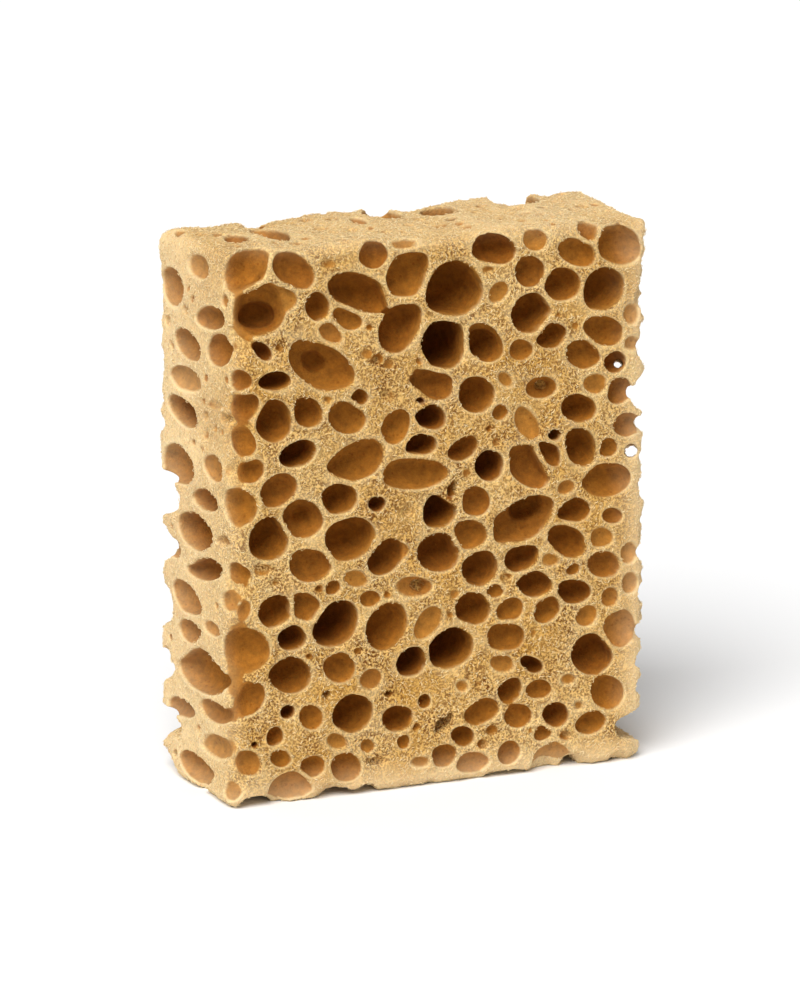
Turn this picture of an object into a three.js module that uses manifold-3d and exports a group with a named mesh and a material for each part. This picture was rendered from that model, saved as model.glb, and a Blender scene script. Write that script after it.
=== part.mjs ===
import * as THREE from 'three';
import { mergeVertices } from 'three/addons/utils/BufferGeometryUtils.js';
import Module from 'manifold-3d';

// A block of natural honeycomb sea sponge, standing on its cut base. It grew as one piece.
// Millimetres, +Z up. The front face looks along -Y. X is measured from the middle of that face.

const THICKNESS = 35;
const FRONT_Y = -THICKNESS / 2;
const BACK_Y = THICKNESS / 2;

// The eight corners of the cut block as x and z, at its front and back face.
// The left side leans outwards towards the back.
const FRONT_CORNERS = { left: [-48.9, -46.1], right: [48.7, 48], top: [122.3, 123] };
const BACK_CORNERS = { left: [-53.2, -52.2], right: [48.7, 48], top: [121.3, 124.2] };
const LEFT_FLARE = FRONT_CORNERS.left[0] - BACK_CORNERS.left[0];
const CORNER_PULL = 1.2;
const WAVE_HEIGHT = 0.5;
const WAVE_LENGTH = 34;

// Depth of a pit as a share of the short width of its mouth: shallow, medium, deep and black.
const PIT_DEPTH = { s: 0.35, m: 0.6, d: 0.95, b: 1.45 };
// A pit is widest at its belly, part of the way down, and its mouth is a little narrower.
const PIT_BELLY = 0.5;
const PIT_LIP = 0.92;
const SEEN_SIDES = 7;
const HIDDEN_SIDES = 6;
const BITE_SIDES = 8;
const BITE_RINGS = 5;
const FACET_GAIN = 1.04;

// Pits that the unseen faces get by a seeded scatter.
const SCATTER_SEED = 20;
const SCATTER_SMALL = 7;
const SCATTER_LARGE = 13;
const SCATTER_WALL = 1.8;
const SCATTER_MARGIN = 6;

const SPONGE_COLOUR = 0xd0a468;

// Front face: across, up, long and short width, tilt in degrees and depth of each pit.
const FRONT_PITS = [
  [-44.9, 117.6, 12.2, 8, 47, 'm'], [-33.5, 117.4, 9.8, 6.8, -35, 'm'], [-41, 109.5, 10.5, 11, 0, 'm'],
  [-36.3, 111.5, 7, 5.5, -20, 's'], [-40.2, 107.2, 7.6, 5, 0, 'd'], [-28.2, 109.2, 6.3, 5.1, -60, 'd'],
  [-19, 111.7, 14.5, 7.6, -22, 'd'], [-21.6, 106.2, 7.3, 4.1, -28, 'm'], [-25.3, 103.2, 6.2, 3.9, -40, 's'],
  [-15.5, 119.2, 6.6, 5.2, 0, 'm'], [-8.2, 122.2, 7.4, 4.4, 0, 's'], [-7.8, 114.7, 10, 8.6, 45, 'm'],
  [-9.5, 103.2, 11.4, 8.2, 50, 'd'], [2.9, 110.9, 12.8, 11.8, -20, 'd'], [0.4, 98.5, 10.4, 10.4, 0, 'b'],
  [-27.3, 96.2, 16, 9, -38, 'm'], [-37.6, 93.8, 6.5, 4, 0, 'b'], [-46.8, 94.6, 5.2, 4.3, -25, 'm'],
  [12.1, 118.6, 10.2, 6.2, -8, 'd'], [21.9, 120, 5.8, 4.6, -15, 's'], [34.5, 121.8, 4.8, 6, 10, 'd'],
  [41.6, 117.4, 10.4, 8, -25, 'm'], [31.6, 116.6, 9, 5.6, -22, 'm'], [20.7, 113, 6.9, 6.2, -25, 'm'],
  [28.3, 109.6, 8.7, 6.4, -8, 'd'], [38, 108, 9.6, 9.2, 35, 'd'], [20.5, 104, 8.8, 8.2, 20, 'd'],
  [25.9, 98.8, 6.6, 5.4, 0, 'd'], [10, 98.5, 9.3, 6.8, -50, 'm'], [18.5, 96.4, 5.4, 4.3, -20, 'm'],
  [38.1, 98.8, 9.6, 6.2, -25, 'm'], [33.2, 94, 8.4, 6, -22, 'm'], [41.2, 91.5, 5, 4.8, 0, 'd'],
  [-44.6, 88.8, 5.2, 5.8, -50, 'm'], [-38.2, 85.4, 7.6, 8.1, 0, 'd'], [-30.6, 86.4, 6.9, 5.8, -30, 'd'],
  [-21.7, 84.7, 9.2, 6.5, -28, 'm'], [-2, 90.1, 9.4, 6.8, -18, 'm'], [-2.6, 83.4, 7, 5.6, -35, 'b'],
  [-10.3, 81.5, 7.4, 5.6, 65, 'm'], [-45.1, 81, 6.2, 4.6, -60, 'm'], [-32.9, 77.9, 8.2, 5.4, 15, 'b'],
  [-43.1, 74.9, 5.4, 4.8, 40, 'm'], [-19.4, 75, 13, 8.2, 20, 'm'], [-4.6, 77.1, 6.6, 4.7, 5, 'b'],
  [-5.8, 71, 15, 6.8, -5, 'm'], [-37.2, 70.2, 8.3, 6.8, 15, 'm'], [-23.4, 67.2, 7.6, 6.9, 0, 'd'],
  [-47.5, 67.3, 9.5, 7.6, 0, 'm'], [-31.8, 63.3, 9.2, 8, -30, 'm'],
  [8.1, 87.1, 8.7, 7.2, -30, 'd'], [23.6, 87.4, 6.8, 4.8, 0, 'm'], [36.1, 87.3, 6, 4.8, -5, 's'],
  [42, 85.2, 6, 5.6, 20, 'm'], [32.5, 81.9, 7.8, 6.2, -10, 'd'], [20.2, 79.7, 8.2, 4.6, -65, 's'],
  [43.8, 77.3, 6.4, 5, 0, 'm'], [5, 75.4, 6, 4.9, 25, 'd'], [11.6, 71.2, 5.8, 6.5, 0, 'b'],
  [20.9, 70.3, 11.6, 7.8, -45, 'm'], [25.4, 72.6, 6.6, 4.2, -42, 'd'], [33, 73.3, 9.4, 7, -60, 'd'],
  [39.7, 65.5, 10.4, 7, -5, 'm'], [-0.2, 62, 8, 7.4, 15, 'b'], [8.3, 63, 6, 5.9, 0, 'm'],
  [-39.7, 59.3, 9, 8.6, -20, 'd'], [-21, 58, 11.4, 8.6, -5, 'd'], [-30.3, 53, 9.5, 7, -18, 'm'],
  [-12.9, 52.7, 8.4, 6.6, 30, 'd'], [-0.6, 53, 9.4, 8.2, -20, 'd'], [-19.6, 48.9, 6.5, 3.6, -15, 's'],
  [-46.5, 52.5, 6, 4, -30, 'm'], [-38.2, 43.7, 7.8, 6.8, 10, 'd'], [-31.6, 44, 7.6, 5.8, -40, 'm'],
  [-24.7, 39.4, 10.8, 8.6, 35, 'b'], [-12.9, 38, 10.6, 8.2, 55, 'd'], [-2.7, 37.3, 7.8, 5.6, 50, 's'],
  [-6.6, 45.6, 8.4, 4.6, -8, 's'], [-45.3, 35.8, 10.2, 8.8, 0, 'm'], [-34.4, 37.1, 6.6, 5.2, -15, 'b'],
  [7, 56.1, 7.8, 6.5, -15, 'm'], [19.4, 58.2, 14.6, 9.2, 27, 'm'], [21.9, 60.2, 6.5, 5.5, 30, 'd'],
  [31.8, 59.2, 6.9, 5.1, 0, 'd'], [29.9, 52.3, 10, 6.4, -33, 'd'], [38.3, 52.3, 5.8, 4.4, 0, 's'],
  [9.3, 48.2, 8.4, 7.8, -20, 'd'], [19.3, 49.4, 8.4, 5.8, 12, 'd'], [38.7, 46.4, 8.4, 5.8, -18, 'm'],
  [22.6, 43.2, 8.2, 5.6, -15, 'd'], [7.5, 39.5, 8.7, 6.9, -20, 'd'], [16.2, 38.2, 6.4, 4.9, 15, 'm'],
  [31.6, 40.8, 8, 5.4, -15, 'd'], [25.2, 37.3, 6.6, 5.4, 30, 'm'], [2.6, 30.9, 10.4, 8.8, 25, 'b'],
  [15.2, 32.2, 8.2, 6.4, 0, 'm'], [43, 31, 7, 8, 0, 's'],
  [-34.5, 29.1, 9, 7.4, -22, 'd'], [-23.5, 29.4, 6.7, 6.6, 0, 'm'], [-6.9, 28.9, 7.4, 6.2, 10, 'b'],
  [-43.8, 24.6, 7.4, 5.4, 60, 'm'], [-16.5, 25.8, 5.2, 5, 0, 's'], [-30.3, 19.1, 6, 5, -40, 'm'],
  [-20.3, 18.5, 8.8, 8.3, 20, 'd'], [-10.1, 16.2, 7.2, 5.7, -15, 'd'], [-44.3, 10.3, 6.4, 5, -50, 's'],
  [-30, 7.8, 5.8, 4.5, -15, 'm'], [-22.2, 7, 7.2, 6, -25, 'm'], [-24.1, 12.7, 5.6, 3.8, -25, 's'],
  [-35, 3.6, 9.6, 6.4, 0, 'm'], [1, 6.7, 6.3, 5, 0, 'm'],
  [21.6, 25.2, 6, 3, -32, 'b'], [36.2, 25.8, 9.8, 8.2, -25, 'd'], [14.7, 25.9, 5.7, 4.2, -20, 's'],
  [16.6, 19.6, 5.8, 5.2, 20, 'd'], [23.3, 19.1, 5.7, 4.1, -5, 'm'], [10.2, 15.8, 7.8, 5.5, 5, 'm'],
  [40.3, 16.3, 7.8, 7, -25, 'm'], [18.7, 13.3, 6.3, 4.9, -12, 'm'], [27.5, 12.8, 6.6, 5.8, -40, 'd'],
  [5.2, 10.5, 5.8, 4.6, -30, 'd'], [36.1, 10.1, 7.2, 5.4, 10, 'm'], [7.6, 4.2, 8, 4.8, 0, 's'],
  [26.6, 3.4, 9.4, 6, 20, 's'],
];

// Left side: distance along Y, up, width along Y, height, tilt and depth of each pit.
const LEFT_PITS = [
  [11.3, 110.8, 12.2, 8, -8, 'm'], [0, 116.5, 10, 5, 0, 's'], [-6, 106.5, 13.5, 5, 10, 'm'],
  [4, 99.3, 12, 6, -10, 'm'], [-9.5, 100, 11, 6, 15, 'm'], [4.5, 91.3, 14, 5.5, 0, 's'],
  [7, 84, 13.5, 5.6, -10, 'd'], [9.5, 72.2, 17.6, 8.2, 0, 'm'], [-8, 74, 10, 5.5, 0, 's'],
  [-4, 66.2, 13, 4.6, 5, 'd'], [0, 58.2, 17, 7.5, 0, 'd'], [10.5, 52.2, 7.4, 4, 0, 'm'],
  [-4, 51, 17.5, 4.6, 10, 'd'], [4, 42.5, 14, 6, -5, 'm'], [-14.5, 46.3, 7.5, 4, 10, 's'],
  [2.8, 35.5, 11, 5, 5, 'm'], [-2.4, 27.6, 25.5, 8.8, 3, 'm'], [-8.5, 20, 16, 4.6, 5, 'm'],
  [7.2, 16.8, 13.4, 4.4, 5, 'm'], [-10, 12.6, 16.5, 5.6, 10, 's'], [0, 4.8, 16.5, 5.6, -3, 'm'],
];

// Top face: across, distance along Y, width across, width along Y and depth of each pit.
const TOP_PITS = [
  [-40.5, -1, 5, 9, 'm'], [-32.8, 0, 6.5, 18, 'm'], [-8.7, 17.5, 6.5, 8, 'm'], [-2.3, 11, 8.5, 13.5, 'm'],
  [-10.3, 4.8, 3.6, 7.5, 's'], [10.2, 8.6, 8, 12.5, 'd'], [29.8, 12.5, 10, 16, 'd'],
];

// Pits that break through an edge: centre and half sizes along X, Y and Z.
const EDGE_BITES = [
  [-54.2, 18.5, 93, 4, 4.5, 3.6], [-53.8, 18.5, 80, 3, 3, 2.5], [-54.2, 18, 63.2, 7.5, 9.8, 5],
  [-54.2, 18.5, 52.5, 6, 7, 4.6], [-54.5, 18.5, 37.8, 7, 8.6, 4.6], [-55, 18.5, 24.2, 7, 8, 4],
  [-55, 18, 11.5, 7.5, 10.5, 3.4], [-54, 18, -0.5, 8, 9.5, 5],
  [50, -15, 113, 2.6, 6, 2.4], [50.2, -15, 103, 3, 6, 2.6], [50.4, -14, 94, 4, 9, 3.4],
  [51, -12, 84, 6.2, 14, 4.8], [50.2, -15, 23, 3.2, 7, 2.4], [50.6, -9, 8, 9, 22, 3.9],
  [-43, -17.5, -0.6, 4.4, 13, 3.2], [-24, -17.5, -0.8, 3.9, 11, 3], [-17, -17.5, -0.8, 2.8, 11, 2.9],
  [17, -17.5, -1, 4.6, 9, 2.3], [32, -17.5, -0.5, 1.8, 11, 2.8],
  [-31, 18.5, 123, 3, 12, 2.8], [5.5, 18.5, 124.6, 2.4, 11, 3], [38.5, 18.5, 125.2, 3, 9, 2.4],
];

const wasm = await Module();
wasm.setup();

function toSolid(geometry) {
  geometry.deleteAttribute('normal');
  geometry.deleteAttribute('uv');
  const merged = mergeVertices(geometry, 1e-4);
  return new wasm.Manifold(new wasm.Mesh({
    numProp: 3,
    vertProperties: Float32Array.from(merged.attributes.position.array),
    triVerts: Uint32Array.from(merged.index.array),
  }));
}

function toGeometry(solid) {
  const mesh = solid.getMesh();
  const geometry = new THREE.BufferGeometry();
  geometry.setAttribute('position', new THREE.BufferAttribute(mesh.vertProperties, 3));
  geometry.setIndex(new THREE.BufferAttribute(mesh.triVerts, 1));
  geometry.computeVertexNormals();
  return geometry;
}

const lerp = THREE.MathUtils.lerp;

function wave(a, b) {
  const turn = 2 * Math.PI / WAVE_LENGTH;
  return WAVE_HEIGHT * Math.sin(turn * a + 1.1) * Math.cos(turn * b + 0.4);
}

// A point of the uncut block from its shares across, front to back and up, each 0 to 1.
function blockPoint(across, back, up) {
  const left = lerp(
    lerp(FRONT_CORNERS.left[0], FRONT_CORNERS.left[1], up),
    lerp(BACK_CORNERS.left[0], BACK_CORNERS.left[1], up), back);
  const right = lerp(
    lerp(FRONT_CORNERS.right[0], FRONT_CORNERS.right[1], up),
    lerp(BACK_CORNERS.right[0], BACK_CORNERS.right[1], up), back);
  const top = lerp(
    lerp(FRONT_CORNERS.top[0], FRONT_CORNERS.top[1], across),
    lerp(BACK_CORNERS.top[0], BACK_CORNERS.top[1], across), back);
  return new THREE.Vector3(lerp(left, right, across), lerp(FRONT_Y, BACK_Y, back), up * top);
}

function makeBlock() {
  const geometry = new THREE.BoxGeometry(1, 1, 1, 4, 2, 5);
  const position = geometry.attributes.position;
  for (let i = 0; i < position.count; i += 1) {
    const across = position.getX(i) + 0.5;
    const back = position.getY(i) + 0.5;
    const up = position.getZ(i) + 0.5;
    const point = blockPoint(across, back, up);
    const inFace = across > 0 && across < 1 && up > 0 && up < 1;
    if (inFace) point.y += wave(point.x, point.z);
    if (across === 1 && up > 0 && up < 1) point.x += wave(point.y, point.z);
    if (up === 1 && across > 0) point.z += wave(point.x, point.y);
    if (up === 1 && across === 1) {
      point.x -= CORNER_PULL;
      point.z -= CORNER_PULL;
    }
    position.setXYZ(i, point.x, point.y, point.z);
  }
  return toSolid(geometry);
}

// One pit in a face, given by a point on the face, two directions in it and its normal.
// It is a ring of corners at the belly, closed by a point below and a far point outside the face.
function pitSolid(point, across, up, normal, [long, short, tilt, depth], sides) {
  const angle = THREE.MathUtils.degToRad(tilt);
  const along = across.clone().multiplyScalar(Math.cos(angle)).addScaledVector(up, Math.sin(angle));
  const deep = depth * Math.min(long, short);
  const belly = PIT_BELLY * deep;
  const apex = belly * PIT_LIP / (1 - PIT_LIP);
  const gain = FACET_GAIN / PIT_LIP;
  const geometry = new THREE.SphereGeometry(1, sides, 2);
  geometry.scale(gain * long / 2, 1, gain * short / 2);
  const position = geometry.attributes.position;
  for (let i = 0; i < position.count; i += 1) {
    const level = Math.round(position.getY(i));
    position.setY(i, [-deep, -belly, apex][level + 1]);
  }
  const basis = new THREE.Matrix4().makeBasis(along, normal, new THREE.Vector3().crossVectors(along, normal));
  geometry.applyMatrix4(basis.setPosition(point));
  return toSolid(geometry);
}

const X = new THREE.Vector3(1, 0, 0);
const Y = new THREE.Vector3(0, 1, 0);
const Z = new THREE.Vector3(0, 0, 1);
const LEFT_ALONG = new THREE.Vector3(LEFT_FLARE, -THICKNESS, 0).normalize();
const LEFT_NORMAL = new THREE.Vector3(-THICKNESS, -LEFT_FLARE, 0).normalize();

function frontPits() {
  return FRONT_PITS.map(([x, z, long, short, tilt, depth]) => {
    const point = new THREE.Vector3(x, FRONT_Y + wave(x, z), z);
    return pitSolid(point, X, Z, Y.clone().negate(), [long, short, tilt, PIT_DEPTH[depth]], SEEN_SIDES);
  });
}

function leftPits() {
  return LEFT_PITS.map(([y, z, long, short, tilt, depth]) => {
    const back = (y - FRONT_Y) / THICKNESS;
    const point = blockPoint(0, back, z / FRONT_CORNERS.top[0]);
    return pitSolid(point, LEFT_ALONG, Z, LEFT_NORMAL, [long, short, tilt, PIT_DEPTH[depth]], SEEN_SIDES);
  });
}

function topPits() {
  return TOP_PITS.map(([x, y, wide, deepAlong, depth]) => {
    const across = (x - FRONT_CORNERS.left[1]) / (FRONT_CORNERS.right[1] - FRONT_CORNERS.left[1]);
    const point = blockPoint(across, (y - FRONT_Y) / THICKNESS, 1);
    return pitSolid(point.setX(x), X, Y, Z, [wide, deepAlong, 0, PIT_DEPTH[depth]], SEEN_SIDES);
  });
}

let seed = SCATTER_SEED;

function random() {
  seed = (Math.imul(seed, 1664525) + 1013904223) >>> 0;
  return seed / 2 ** 32;
}

// Pits thrown at random on a face from 0 to width and 0 to height, clear of its edges and each other.
function scatter(width, height, tries) {
  const pits = [];
  for (let i = 0; i < tries; i += 1) {
    const a = lerp(SCATTER_MARGIN, width - SCATTER_MARGIN, random());
    const b = lerp(SCATTER_MARGIN, height - SCATTER_MARGIN, random());
    const long = SCATTER_SMALL + (SCATTER_LARGE - SCATTER_SMALL) * random() * random();
    const short = long * (0.62 + 0.35 * random());
    const tilt = 180 * random() - 90;
    const depth = 0.4 + 0.75 * random();
    const size = (long + short) / 4;
    const clear = pits.every((pit) => Math.hypot(a - pit.a, b - pit.b) > size + pit.size + SCATTER_WALL);
    if (clear) pits.push({ a, b, size, pit: [long, short, tilt, depth] });
  }
  return pits;
}

function hiddenPits() {
  const width = BACK_CORNERS.right[1] - BACK_CORNERS.left[1];
  const height = FRONT_CORNERS.top[0];
  const back = scatter(width, height, 600).map(({ a, b, pit }) => {
    const point = new THREE.Vector3(BACK_CORNERS.left[1] + a, BACK_Y, b);
    return pitSolid(point, X, Z, Y, pit, HIDDEN_SIDES);
  });
  const right = scatter(THICKNESS, height, 200).map(({ a, b, pit }) => {
    const point = blockPoint(1, a / THICKNESS, b / height);
    return pitSolid(point, Y, Z, X, pit, HIDDEN_SIDES);
  });
  const base = scatter(width, THICKNESS, 60).map(({ a, b, pit }) => {
    const point = new THREE.Vector3(BACK_CORNERS.left[1] + a, FRONT_Y + b, 0);
    return pitSolid(point, X, Y, Z.clone().negate(), pit, HIDDEN_SIDES);
  });
  return [...back, ...right, ...base];
}

function edgeBites() {
  return EDGE_BITES.map(([x, y, z, halfX, halfY, halfZ]) => {
    const geometry = new THREE.SphereGeometry(1, BITE_SIDES, BITE_RINGS);
    geometry.scale(halfX, halfY, halfZ);
    geometry.translate(x, y, z);
    return toSolid(geometry);
  });
}

function makeSponge() {
  const cutters = [...frontPits(), ...leftPits(), ...topPits(), ...edgeBites(), ...hiddenPits()];
  const pits = cutters.reduce((all, cutter) => all.add(cutter));
  const material = new THREE.MeshStandardMaterial({ color: SPONGE_COLOUR, roughness: 0.95, metalness: 0 });
  const sponge = new THREE.Mesh(toGeometry(makeBlock().subtract(pits)), material);
  sponge.name = 'sponge';
  return sponge;
}

// The sponge stands on its base, centred on the origin.
const sponge = makeSponge();
sponge.geometry.computeBoundingBox();
const middle = sponge.geometry.boundingBox.getCenter(new THREE.Vector3());
sponge.position.set(-middle.x, -middle.y, 0);

const part = new THREE.Group();
part.add(sponge);

export default part;
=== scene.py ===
"""Looks of a cut block of honeycomb sea sponge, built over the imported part."""

import functools
import itertools
import math

import bmesh
import bpy
import numpy as np
from bpy.props import FloatProperty, FloatVectorProperty, IntProperty, PointerProperty
from mathutils import Matrix, Vector, noise
from mathutils.bvhtree import BVHTree


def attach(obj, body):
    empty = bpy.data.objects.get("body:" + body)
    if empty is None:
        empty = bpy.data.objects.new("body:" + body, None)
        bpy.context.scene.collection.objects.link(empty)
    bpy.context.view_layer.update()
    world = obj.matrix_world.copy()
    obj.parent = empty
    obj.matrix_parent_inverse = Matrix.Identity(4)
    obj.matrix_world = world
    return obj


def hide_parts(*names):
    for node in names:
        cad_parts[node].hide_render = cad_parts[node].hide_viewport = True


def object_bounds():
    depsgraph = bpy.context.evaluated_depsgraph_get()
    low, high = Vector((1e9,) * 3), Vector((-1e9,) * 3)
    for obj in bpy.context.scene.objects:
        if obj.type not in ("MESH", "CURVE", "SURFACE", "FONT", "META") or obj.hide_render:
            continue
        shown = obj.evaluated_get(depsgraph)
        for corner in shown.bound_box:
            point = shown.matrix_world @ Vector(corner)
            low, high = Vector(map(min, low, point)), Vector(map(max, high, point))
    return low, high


bl_info = {
    "name": "Honeycomb sea sponge",
    "version": (1, 0, 0),
    "blender": (4, 5, 0),
    "location": "View3D > Sidebar > Sponge",
    "description": "Builds a cut block of natural sea sponge with its pits, grain and a plain stage",
    "category": "Object",
}

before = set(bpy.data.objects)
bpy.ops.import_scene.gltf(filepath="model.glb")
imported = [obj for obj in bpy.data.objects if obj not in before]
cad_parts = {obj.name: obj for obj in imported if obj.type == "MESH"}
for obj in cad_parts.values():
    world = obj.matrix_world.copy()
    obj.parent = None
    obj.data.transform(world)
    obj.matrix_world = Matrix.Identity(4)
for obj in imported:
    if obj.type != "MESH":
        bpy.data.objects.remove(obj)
CAD_LOW, CAD_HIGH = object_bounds()

MM = 0.001

# The block in mm, from below the middle of the front face: x of its sides at the bottom and the top, z of its
# top at the left and the right, and the slow waves of its cut faces.
THICKNESS = 35.0
FRONT_Y = -THICKNESS / 2
BACK_Y = THICKNESS / 2
FRONT_LEFT = (-48.9, -46.1)
BACK_LEFT = (-53.2, -52.2)
RIGHT = (49.1, 48.6)
FRONT_TOP = (122.3, 123.0)
BACK_TOP = (121.3, 124.2)
LEFT_FLARE = FRONT_LEFT[0] - BACK_LEFT[0]
WAVE_HEIGHT = 0.5
WAVE_LENGTH = 34.0

# The part stands with its box centred, so the front face is a little off the middle.
FACE_SHIFT = CAD_LOW.x / MM - BACK_LEFT[0]

# Depth of a pit as a share of its short width: S is shallow, M medium, D deep and B black. A deeper share also
# paints the pit's walls darker, as shade.
S, M, D, B = 0.35, 0.6, 0.95, 1.45

# Small pits are deeper than their width alone would give, up to this much, in mm.
PORE_DEEPER = 0.9

# Front face: across, up, long and short width, tilt in degrees and depth of each pit.
FRONT_PITS = (
    (-44.9, 117.6, 12.2, 8, 47, M), (-33.5, 117.4, 9.8, 6.8, -35, M), (-41, 109.5, 10.5, 11, 0, M),
    (-36.3, 111.5, 7, 5.5, -20, S), (-40.2, 107.2, 7.6, 5, 0, D), (-28.2, 109.2, 6.3, 5.1, -60, D),
    (-19, 111.7, 14.5, 7.6, -22, D), (-21.6, 106.2, 7.3, 4.1, -28, M), (-25.3, 103.2, 6.2, 3.9, -40, S),
    (-15.5, 119.2, 6.6, 5.2, 0, M), (-8.2, 122.2, 7.4, 4.4, 0, S), (-7.8, 114.7, 10, 8.6, 45, M),
    (-9.5, 103.2, 11.4, 8.2, 50, D), (2.9, 110.9, 12.8, 11.8, -20, D), (0.4, 98.5, 10.4, 10.4, 0, B),
    (-27.3, 96.2, 16, 9, -38, M), (-37.6, 93.8, 6.5, 4, 0, B), (-46.8, 94.6, 5.2, 4.3, -25, M),
    (12.1, 118.6, 10.2, 6.2, -8, D), (21.9, 120, 5.8, 4.6, -15, S), (34.5, 121.8, 4.8, 6, 10, D),
    (41.6, 117.4, 10.4, 8, -25, M), (31.6, 116.6, 9, 5.6, -22, M), (20.7, 113, 6.9, 6.2, -25, M),
    (28.3, 109.6, 8.7, 6.4, -8, D), (38, 108, 9.6, 9.2, 35, D), (20.5, 104, 8.8, 8.2, 20, D),
    (25.9, 98.8, 6.6, 5.4, 0, D), (10, 98.5, 9.3, 6.8, -50, M), (18.5, 96.4, 5.4, 4.3, -20, M),
    (38.1, 98.8, 9.6, 6.2, -25, M), (33.2, 94, 8.4, 6, -22, M), (41.2, 91.5, 5, 4.8, 0, D),
    (-44.6, 88.8, 5.2, 5.8, -50, M), (-38.2, 85.4, 7.6, 8.1, 0, D), (-30.6, 86.4, 6.9, 5.8, -30, D),
    (-21.7, 84.7, 9.2, 6.5, -28, M), (-2, 90.1, 9.4, 6.8, -18, M), (-2.6, 83.4, 7, 5.6, -35, B),
    (-10.3, 81.5, 7.4, 5.6, 65, M), (-45.1, 81, 6.2, 4.6, -60, M), (-32.9, 77.9, 8.2, 5.4, 15, B),
    (-43.1, 74.9, 5.4, 4.8, 40, M), (-19.4, 75, 13, 8.2, 20, M), (-4.6, 77.1, 6.6, 4.7, 5, B),
    (-5.8, 71, 15, 6.8, -5, M), (-37.2, 70.2, 8.3, 6.8, 15, M), (-23.4, 67.2, 7.6, 6.9, 0, D),
    (-47.5, 67.3, 9.5, 7.6, 0, M), (-31.8, 63.3, 9.2, 8, -30, M),
    (8.1, 87.1, 8.7, 7.2, -30, D), (23.6, 87.4, 6.8, 4.8, 0, M), (36.1, 87.3, 6, 4.8, -5, S),
    (42, 85.2, 6, 5.6, 20, M), (32.5, 81.9, 7.8, 6.2, -10, D), (20.2, 79.7, 8.2, 4.6, -65, S),
    (43.8, 77.3, 6.4, 5, 0, M), (5, 75.4, 6, 4.9, 25, D), (11.6, 71.2, 5.8, 6.5, 0, B),
    (20.9, 70.3, 11.6, 7.8, -45, M), (25.4, 72.6, 6.6, 4.2, -42, D), (33, 73.3, 9.4, 7, -60, D),
    (39.7, 65.5, 10.4, 7, -5, M), (-0.2, 62, 8, 7.4, 15, B), (8.3, 63, 6, 5.9, 0, M),
    (-39.7, 59.3, 9, 8.6, -20, D), (-21, 58, 11.4, 8.6, -5, D), (-30.3, 53, 9.5, 7, -18, M),
    (-12.9, 52.7, 8.4, 6.6, 30, D), (-0.6, 53, 9.4, 8.2, -20, D), (-19.6, 48.9, 6.5, 3.6, -15, S),
    (-46.5, 52.5, 6, 4, -30, M), (-38.2, 43.7, 7.8, 6.8, 10, D), (-31.6, 44, 7.6, 5.8, -40, M),
    (-24.7, 39.4, 10.8, 8.6, 35, B), (-12.9, 38, 10.6, 8.2, 55, D), (-2.7, 37.3, 7.8, 5.6, 50, S),
    (-6.6, 45.6, 8.4, 4.6, -8, S), (-45.3, 35.8, 10.2, 8.8, 0, M), (-34.4, 37.1, 6.6, 5.2, -15, B),
    (7, 56.1, 7.8, 6.5, -15, M), (19.4, 58.2, 14.6, 9.2, 27, M), (21.9, 60.2, 6.5, 5.5, 30, D),
    (31.8, 59.2, 6.9, 5.1, 0, D), (29.9, 52.3, 10, 6.4, -33, D), (38.3, 52.3, 5.8, 4.4, 0, S),
    (9.3, 48.2, 8.4, 7.8, -20, D), (19.3, 49.4, 8.4, 5.8, 12, D), (38.7, 46.4, 8.4, 5.8, -18, M),
    (22.6, 43.2, 8.2, 5.6, -15, D), (7.5, 39.5, 8.7, 6.9, -20, D), (16.2, 38.2, 6.4, 4.9, 15, M),
    (31.6, 40.8, 8, 5.4, -15, D), (25.2, 37.3, 6.6, 5.4, 30, M), (2.6, 30.9, 10.4, 8.8, 25, B),
    (15.2, 32.2, 8.2, 6.4, 0, M), (43, 31, 7, 8, 0, S),
    (-34.5, 29.1, 9, 7.4, -22, D), (-23.5, 29.4, 6.7, 6.6, 0, M), (-6.9, 28.9, 7.4, 6.2, 10, B),
    (-43.8, 24.6, 7.4, 5.4, 60, M), (-16.5, 25.8, 5.2, 5, 0, S), (-30.3, 19.1, 6, 5, -40, M),
    (-20.3, 18.5, 8.8, 8.3, 20, D), (-10.1, 16.2, 7.2, 5.7, -15, D), (-44.3, 10.3, 6.4, 5, -50, S),
    (-30, 7.8, 5.8, 4.5, -15, M), (-22.2, 7, 7.2, 6, -25, M), (-24.1, 12.7, 5.6, 3.8, -25, S),
    (-35, 3.6, 9.6, 6.4, 0, S), (1, 6.7, 6.3, 5, 0, M),
    (21.6, 25.2, 6, 3, -32, B), (36.2, 25.8, 9.8, 8.2, -25, D), (14.7, 25.9, 5.7, 4.2, -20, S),
    (16.6, 19.6, 5.8, 5.2, 20, D), (23.3, 19.1, 5.7, 4.1, -5, M), (10.2, 15.8, 7.8, 5.5, 5, M),
    (40.3, 16.3, 7.8, 7, -25, M), (18.7, 13.3, 6.3, 4.9, -12, M), (27.5, 12.8, 6.6, 5.8, -40, D),
    (5.2, 10.5, 5.8, 4.6, -30, D), (36.1, 10.1, 7.2, 5.4, 10, M), (7.6, 4.2, 8, 4.8, 0, S),
    (26.6, 3.4, 9.4, 6, 20, S),
)

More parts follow.
